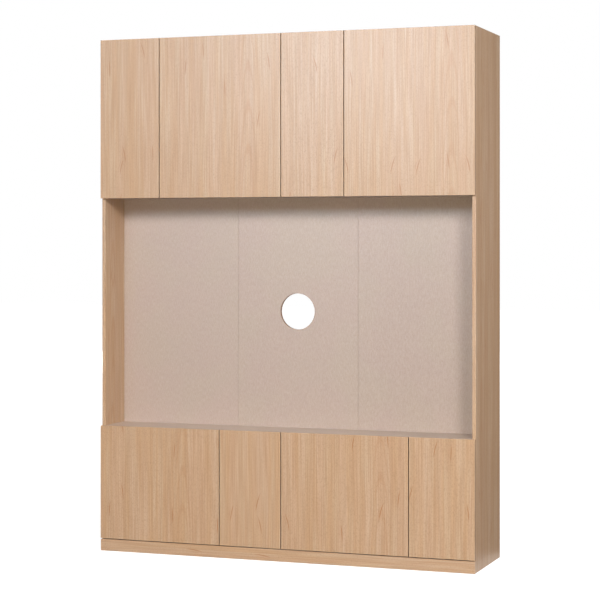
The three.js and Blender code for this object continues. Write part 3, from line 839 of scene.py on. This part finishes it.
def hinge_cup(door, end, pin, centre, hand):
    mesh = bmesh.new()
    turn(mesh, stand(centre, BACKWARDS), cup_profile, sides=56, closed=True)
    flat = Matrix(((1, 0, 0, centre.x), (0, 0, 1, centre.y), (0, 1, 0, centre.z), (0, 0, 0, 1)))
    for side in (-1, 1):
        prism(mesh, flat, ear_outline(hand, side), DOOR_BACK - 0.1, DOOR_BACK + EAR_TOP)
    sleeve = stand(pin - Vector((0, 0, SLEEVE_HALF * MM)), (0, 0, 1))
    turn(mesh, sleeve, [(SLEEVE_RADIUS, 0), (SLEEVE_RADIUS, 2 * SLEEVE_HALF)], sides=24)
    fitting(f"{door}_cup_{end}", door, nickel, mesh, bevel=CUP_BEVEL)


def cup_screws(door, end, centre, hand):
    mesh = bmesh.new()
    for side in (-1, 1):
        spot = Vector((hand * EAR_SCREW_ACROSS, DOOR_BACK + EAR_TOP, side * EAR_SCREW_UP)) * MM
        screw(mesh, centre + spot, BACKWARDS, radius=3.7, proud=0.7)
    fitting(f"{door}_cup_screws_{end}", door, zinc, mesh)


print("points of a cup's profile:", len(cup_profile))

# %% [markdown]
# ## The screws of the arms
# The arm sits on a winged plate with a screw in each wing and two adjusting screws on its
# back. The plate lies on a side panel, or on a partition where two doors stand back to back,
# so the faces of these boards, read from the frame, say where the screws go.

# %% Hinges
WING_SCREW_BACK, WING_SCREW_UP, PLATE_THICKNESS, ARM_HEIGHT = 37, 17.5, 3.0, 7.0
ADJUSTING_SCREWS = ((36, 3.1), (54, 3.6))
ARM_BEVEL, ARM_BEVEL_ANGLE, WELD_DISTANCE = 0.25, 40, 0.00001
carcass_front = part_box("side_panel_left")[0].y
side_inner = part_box("side_panel_right")[0].x
partition_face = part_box("upper_partition")[1].x
swings = {joint["name"]: joint for joint in frame["joints"]}


def arm_screws(door, end, pin, hand):
    panel_x = math.copysign(side_inner if abs(pin.x) > 0.5 else partition_face, pin.x)
    plate = Vector((panel_x + hand * PLATE_THICKNESS * MM, carcass_front, pin.z))
    mesh = bmesh.new()
    for side in (-1, 1):
        spot = plate + Vector((0, WING_SCREW_BACK, side * WING_SCREW_UP)) * MM
        screw(mesh, spot, (hand, 0, 0), radius=4.0, proud=1.1)
    for back, radius in ADJUSTING_SCREWS:
        spot = plate + Vector((hand * ARM_HEIGHT, back, 0)) * MM
        screw(mesh, spot, (hand, 0, 0), radius, proud=0.6)
    fitting(f"{door}_arm_screws_{end}", "carcass", zinc, mesh)


for door in doors:
    swing = swings[door + "_swing"]
    pin = Vector(swing["pos_m"])
    hand = -round(swing["axis"][2])
    for end in ("bottom", "top"):
        low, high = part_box(f"{door}_hinge_arm_{end}")
        pin.z = (low.z + high.z) / 2
        centre = pin + Vector((hand * CUP_FROM_PIN, 0, 0)) * MM
        hinge_cup(door, end, pin, centre, hand)
        cup_screws(door, end, centre, hand)
        arm_screws(door, end, pin, hand)
for node in frame["nodes"]:
    if "hinge_arm" in node or "wall_angle" in node:
        arm = frame["nodes"][node]
        weld = arm.modifiers.new("joined faces", "WELD")
        weld.merge_threshold = WELD_DISTANCE
        soft = soften(arm, ARM_BEVEL)
        soft.angle_limit = math.radians(ARM_BEVEL_ANGLE)
print("hinges:", 2 * len(doors))

# %% [markdown]
# ## Push latches and strike plates
# A door without a handle is pressed, and a spring plunger with a magnet in its tip pushes it
# out. The magnet meets a small steel disc that is screwed to the door. The plungers of the
# frame are plain turned rods; finer ones take their place, with the magnet as its own piece.
# Each latch housing is screwed up against the board above it or down on the one below.

# %% Latches
PLUNGER_STEM = [(2.2, 0.9), (2.75, 1.1), (2.75, 6.9), (3.6, 7.0), (3.98, 7.4), (3.98, 49.6), (3.6, 50.0)]
PLUNGER_MAGNET = [(2.5, 0.0), (3.05, 0.12), (3.38, 0.7), (3.38, 4.6), (3.1, 5.0), (2.0, 5.0)]
STRIKE_PLATE = [(7.12, -0.2), (7.12, 0.7), (6.8, 1.08), (3.4, 1.08), (2.0, 0.4), (1.0, 0.4)]
DOOR_GAP = 3
LATCH_SCREW_APART, LATCH_SCREW_BACK, LATCH_FLANGE = 26.4, 33, 3
FLANGE_SIDE = {"lower": -1, "upper": 1}
for door in doors:
    low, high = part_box(door + "_latch_plunger")
    tip = Vector(((low.x + high.x) / 2, low.y, (low.z + high.z) / 2))
    back = stand(tip, BACKWARDS)
    mesh = bmesh.new()
    turn(mesh, back, PLUNGER_STEM, sides=32)
    stem = fitting(door + "_plunger_stem", door + "_latch_plunger", latch_grey, mesh)
    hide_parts(door + "_latch_plunger")
    mesh = bmesh.new()
    turn(mesh, back, PLUNGER_MAGNET, sides=32)
    fitting(door + "_plunger_magnet", door + "_latch_plunger", magnet_dark, mesh)
    disc = stand(Vector((tip.x, carcass_front - DOOR_GAP * MM, tip.z)), BACKWARDS)
    mesh = bmesh.new()
    turn(mesh, disc, STRIKE_PLATE, sides=40)
    fitting(door + "_strike_plate", door, nickel, mesh)
for row in ROWS:
    for hand in HANDS:
        low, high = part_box(f"{row}_latch_{hand}")
        side = FLANGE_SIDE[row]
        level = low.z + LATCH_FLANGE * MM if side > 0 else high.z - LATCH_FLANGE * MM
        mesh = bmesh.new()
        for end in (-1, 1):
            x = (low.x + high.x) / 2 + end * LATCH_SCREW_APART * MM
            spot = Vector((x, low.y + LATCH_SCREW_BACK * MM, level))
            screw(mesh, spot, (0, 0, side), radius=3.4, proud=1.4)
        fitting(f"{row}_latch_{hand}_screws", "carcass", zinc, mesh)
print("latches:", len(ROWS) * len(HANDS), "plungers:", len(doors))

# %% [markdown]
# ## Shelf connectors and cam caps
# The shelves hang on bolts gripped by round housings under their ends, each with a cam to
# tighten. Flat caps close the cam locks that draw the cabinet boards against the sides; the
# ceiling of the niche has them on top, inside the cabinet, and the other boards below.

# %% Connectors and caps
CONNECTOR = [(10.15, -0.4), (10.15, 1.1), (9.7, 1.6), (5.4, 1.6), (5.0, 1.25), (4.2, 1.25)]
CONNECTOR_FROM_END, CONNECTOR_FROM_EDGE, CONNECTOR_DEPTH, CAM_DEPTH = 14, 45, 1.5, 0.2
CAM_CAP = [(8.6, -0.1), (8.6, 0.3), (8.2, 0.6), (2.0, 0.75)]
CAP_FROM_END, CAP_FROM_FRONT, CAP_FROM_REAR = 34, 110, 60
DOWN = (0, 0, -1)
for shelf in shelves:
    low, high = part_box(shelf)
    mesh = bmesh.new()
    for x in (low.x + CONNECTOR_FROM_END * MM, high.x - CONNECTOR_FROM_END * MM):
        for y in (low.y + CONNECTOR_FROM_EDGE * MM, high.y - CONNECTOR_FROM_EDGE * MM):
            turn(mesh, stand(Vector((x, y, low.z + CONNECTOR_DEPTH * MM)), DOWN), CONNECTOR, sides=40)
            screw(mesh, Vector((x, y, low.z + CAM_DEPTH * MM)), DOWN, radius=3.9, proud=0.3)
    fitting(shelf + "_connectors", "carcass", zinc, mesh)

cap_boards = {"lower_cabinet_floor": -1, "niche_floor": -1, "niche_ceiling": 1, "top_panel": -1}
for board, side in cap_boards.items():
    low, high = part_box(board)
    level = high.z if side > 0 else low.z
    mesh = bmesh.new()
    for x in (low.x + CAP_FROM_END * MM, high.x - CAP_FROM_END * MM):
        for y in (low.y + CAP_FROM_FRONT * MM, high.y - CAP_FROM_REAR * MM):
            turn(mesh, stand(Vector((x, y, level)), (0, 0, side)), CAM_CAP, sides=36)
    fitting(board + "_cam_caps", "carcass", cap_plastic, mesh)
print("shelves:", len(shelves), "boards with caps:", len(cap_boards))

# %% [markdown]
# ## Wall angles and the cable hole
# The wall angles have two screws in each leg. The cable hole is edged with a thin strip that
# has been heated and wrapped round the cut, so it is a ring a little narrower than the board.

# %% Angle screws and hole edging
ANGLE_STEEL, ANGLE_SCREW_APART, TOP_LEG_SCREW, WALL_LEG_SCREW = 2.5, 9, 15, 16
HOLE_HEIGHT, HOLE_RADIUS = 1.121, 84.0
EDGING_JOINT, EDGING_FACE, EDGING_INSET, EDGING_CHAMFER = 0.14, 0.6, 0.15, 0.2
for hand in HANDS:
    low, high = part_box("wall_angle_" + hand)
    mesh = bmesh.new()
    for end in (-1, 1):
        x = (low.x + high.x) / 2 + end * ANGLE_SCREW_APART * MM
        spot = Vector((x, low.y + TOP_LEG_SCREW * MM, high.z - ANGLE_STEEL * MM))
        screw(mesh, spot, DOWN, radius=3.8, proud=1.2)
        spot = Vector((x, high.y - ANGLE_STEEL * MM, low.z + WALL_LEG_SCREW * MM))
        screw(mesh, spot, (0, -1, 0), radius=3.8, proud=1.2)
    fitting(f"wall_angle_{hand}_screws", "carcass", zinc, mesh)

low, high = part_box("niche_back_middle")
board = (high.y - low.y) / MM
outer, inner = HOLE_RADIUS - EDGING_JOINT, HOLE_RADIUS - EDGING_FACE
edging = [(outer, EDGING_INSET + EDGING_CHAMFER), (inner, EDGING_INSET),
          (inner, board - EDGING_INSET), (outer, board - EDGING_INSET - EDGING_CHAMFER)]
mesh = bmesh.new()
hole = stand(Vector(((low.x + high.x) / 2, low.y, HOLE_HEIGHT)), BACKWARDS)
turn(mesh, hole, edging, sides=128, closed=True)
fitting("cable_hole_edging", "carcass", edge_brown, mesh)

# %% [markdown]
# ## Floor
# The picture is a cut-out on white. The floor is matt and pale, and it glows for the camera
# and for reflections only, so that it reads as white and still keeps the shadow of the
# cabinet. Farther off the glow is full, so that no horizon shows. Under the cabinet it doesn't
# glow, because no light gets there.

# %% Floor
FLOOR_SIZE, FLOOR_DROP, FLOOR_GREY = 60, 0.0004, 0.35
NEAR_GLOW, FULL_GLOW_FROM, FULL_GLOW_AT = 0.91, 2.0, 6.0
FOOT_X, FOOT_Y = 0.89, 0.215


def seen_directly(sheet):
    """One for the rays of the camera, of reflections and of clear things, else nought."""
    rays = sheet.node("LightPath").outputs
    through = sheet.math("MAXIMUM", rays["Is Glossy Ray"], rays["Is Transmission Ray"])
    return sheet.math("MAXIMUM", rays["Is Camera Ray"], through)


bpy.ops.mesh.primitive_plane_add(size=FLOOR_SIZE, location=(0, 0, -FLOOR_DROP))
floor = bpy.context.object
floor.name = "floor"
floor_material = bpy.data.materials.new("floor")
floor_material.use_nodes = True
sheet = Sheet(floor_material.node_tree)
nodes = floor_material.node_tree.nodes
nodes.remove(nodes["Principled BSDF"])
pale = sheet.node("BsdfDiffuse")
pale.inputs["Color"].default_value = (FLOOR_GREY, FLOOR_GREY, FLOOR_GREY, 1)
glow = sheet.node("Emission")
x, y, z = sheet.split(sheet.node("TexCoord").outputs["Object"])
outside = sheet.math("MAXIMUM", sheet.math("GREATER_THAN", sheet.math("ABSOLUTE", x), FOOT_X),
                     sheet.math("GREATER_THAN", sheet.math("ABSOLUTE", y), FOOT_Y))
away = sheet.math("SQRT", sheet.plus(sheet.times(x, x), sheet.times(y, y)))
white = sheet.plus(NEAR_GLOW, sheet.times(sheet.ease(away, FULL_GLOW_FROM, FULL_GLOW_AT), 1 - NEAR_GLOW))
sheet.feed(glow.inputs["Strength"], sheet.times(sheet.times(seen_directly(sheet), outside), white))
both = sheet.node("AddShader")
sheet.feed(both.inputs[0], pale.outputs[0])
sheet.feed(both.inputs[1], glow.outputs[0])
sheet.feed(nodes["Material Output"].inputs["Surface"], both.outputs[0])
floor.data.materials.append(floor_material)
print("floor", FLOOR_SIZE, "metres wide")

# %% [markdown]
# ## Lamps
# The shadow of the upper doors on the niche back has an edge some 50 mm wide, and the edge of
# the right side panel's shadow is some 70 mm wide. Both ask for a soft box at the right front,
# far away and twice as wide as it is high, called the window here. A second box stands higher
# in front, and a low warm one stands for the light that a wooden floor throws back. Weaker
# ones at the side and behind keep those faces readable. The pale sheen on the lacquer of the
# upper doors is the mirror image of a bright area, so the lamp that makes it shows in
# reflections only and lights nothing. It is narrow, so that the ceiling's shadow cuts it off
# where it cuts off the window.

# %% Lamps
LAMP_AIM = (0, 0, 1.2)
WHITE, WARM, PALE_BLUE = (1, 1, 1), (1, 0.79, 0.5), (0.82, 0.91, 1)


def lamp(name, azimuth, elevation, distance, width, height, watts, colour=WHITE):
    """A soft box that faces the cabinet. Azimuth is counted from the front towards the right."""
    data = bpy.data.lights.new(name, "AREA")
    data.shape = "RECTANGLE"
    data.size = width
    data.size_y = height
    data.energy = watts
    data.color = colour
    made = bpy.data.objects.new(name, data)
    turned, raised = math.radians(azimuth), math.radians(elevation)
    level = math.cos(raised)
    away = Vector((math.sin(turned) * level, -math.cos(turned) * level, math.sin(raised)))
    made.location = Vector(LAMP_AIM) + away * distance
    made.rotation_euler = away.to_track_quat("Z", "Y").to_euler()
    scene.collection.objects.link(made)
    return made


lamp("window", azimuth=31.5, elevation=18.7, distance=20, width=4.2, height=2.1, watts=2190)
lamp("front", azimuth=4, elevation=25, distance=32, width=6.8, height=4.5, watts=3620)
lamp("bounce", azimuth=4, elevation=-2, distance=9, width=3, height=1.5, watts=210, colour=WARM)
lamp("side", azimuth=78, elevation=8, distance=6, width=2.4, height=2.4, watts=164)
lamp("rear", azimuth=205, elevation=8, distance=16, width=4, height=4, watts=1000)
sheen = lamp("sheen", azimuth=-13.5, elevation=18.5, distance=6, width=1.68, height=0.7, watts=600,
             colour=PALE_BLUE)
sheen.visible_diffuse = False

# %% [markdown]
# ## Curtain and surround
# A side panel seen at a low angle would mirror the white floor behind the cabinet and look
# polished. A dark sheet that curves round the back, which only reflections show, keeps it matt.
# The surround is white for the camera and for reflections, and a dim warm light for the rest.

# %% Curtain and surround
CURTAIN_RADIUS, CURTAIN_FOOT, CURTAIN_TOP = 1.0, -0.5, 4.5
CURTAIN_FROM, CURTAIN_TO, CURTAIN_STEPS = 80, 280, 24
CURTAIN_COLOUR = (0.03, 0.028, 0.026, 1)
AMBIENT, AMBIENT_COLOUR = 0.1, (1.08, 0.94, 0.7, 1)
dark = bpy.data.materials.new("curtain")
dark.use_nodes = True
dark.node_tree.nodes["Principled BSDF"].inputs["Base Color"].default_value = CURTAIN_COLOUR
mesh = bmesh.new()
pairs = []
for step in range(CURTAIN_STEPS + 1):
    angle = math.radians(CURTAIN_FROM + (CURTAIN_TO - CURTAIN_FROM) * step / CURTAIN_STEPS)
    x, y = CURTAIN_RADIUS * math.sin(angle), -CURTAIN_RADIUS * math.cos(angle)
    pairs.append([mesh.verts.new((x, y, z)) for z in (CURTAIN_FOOT, CURTAIN_TOP)])
for (foot, top), (next_foot, next_top) in zip(pairs, pairs[1:]):
    mesh.faces.new((foot, next_foot, next_top, top))
rear_curtain = new_object("rear_curtain", mesh, dark)
for rays in ("camera", "diffuse", "transmission", "shadow"):
    setattr(rear_curtain, "visible_" + rays, False)

world = bpy.data.worlds.new("surround")
world.use_nodes = True
scene.world = world
sheet = Sheet(world.node_tree)
seen = seen_directly(sheet)
background = world.node_tree.nodes["Background"].inputs
sheet.feed(background["Strength"], sheet.plus(AMBIENT, sheet.times(seen, 1 - AMBIENT)))
sheet.feed(background["Color"], sheet.mix(seen, AMBIENT_COLOUR, (1, 1, 1, 1)))
scene.view_settings.view_transform = "Standard"
print("ambient light:", AMBIENT)
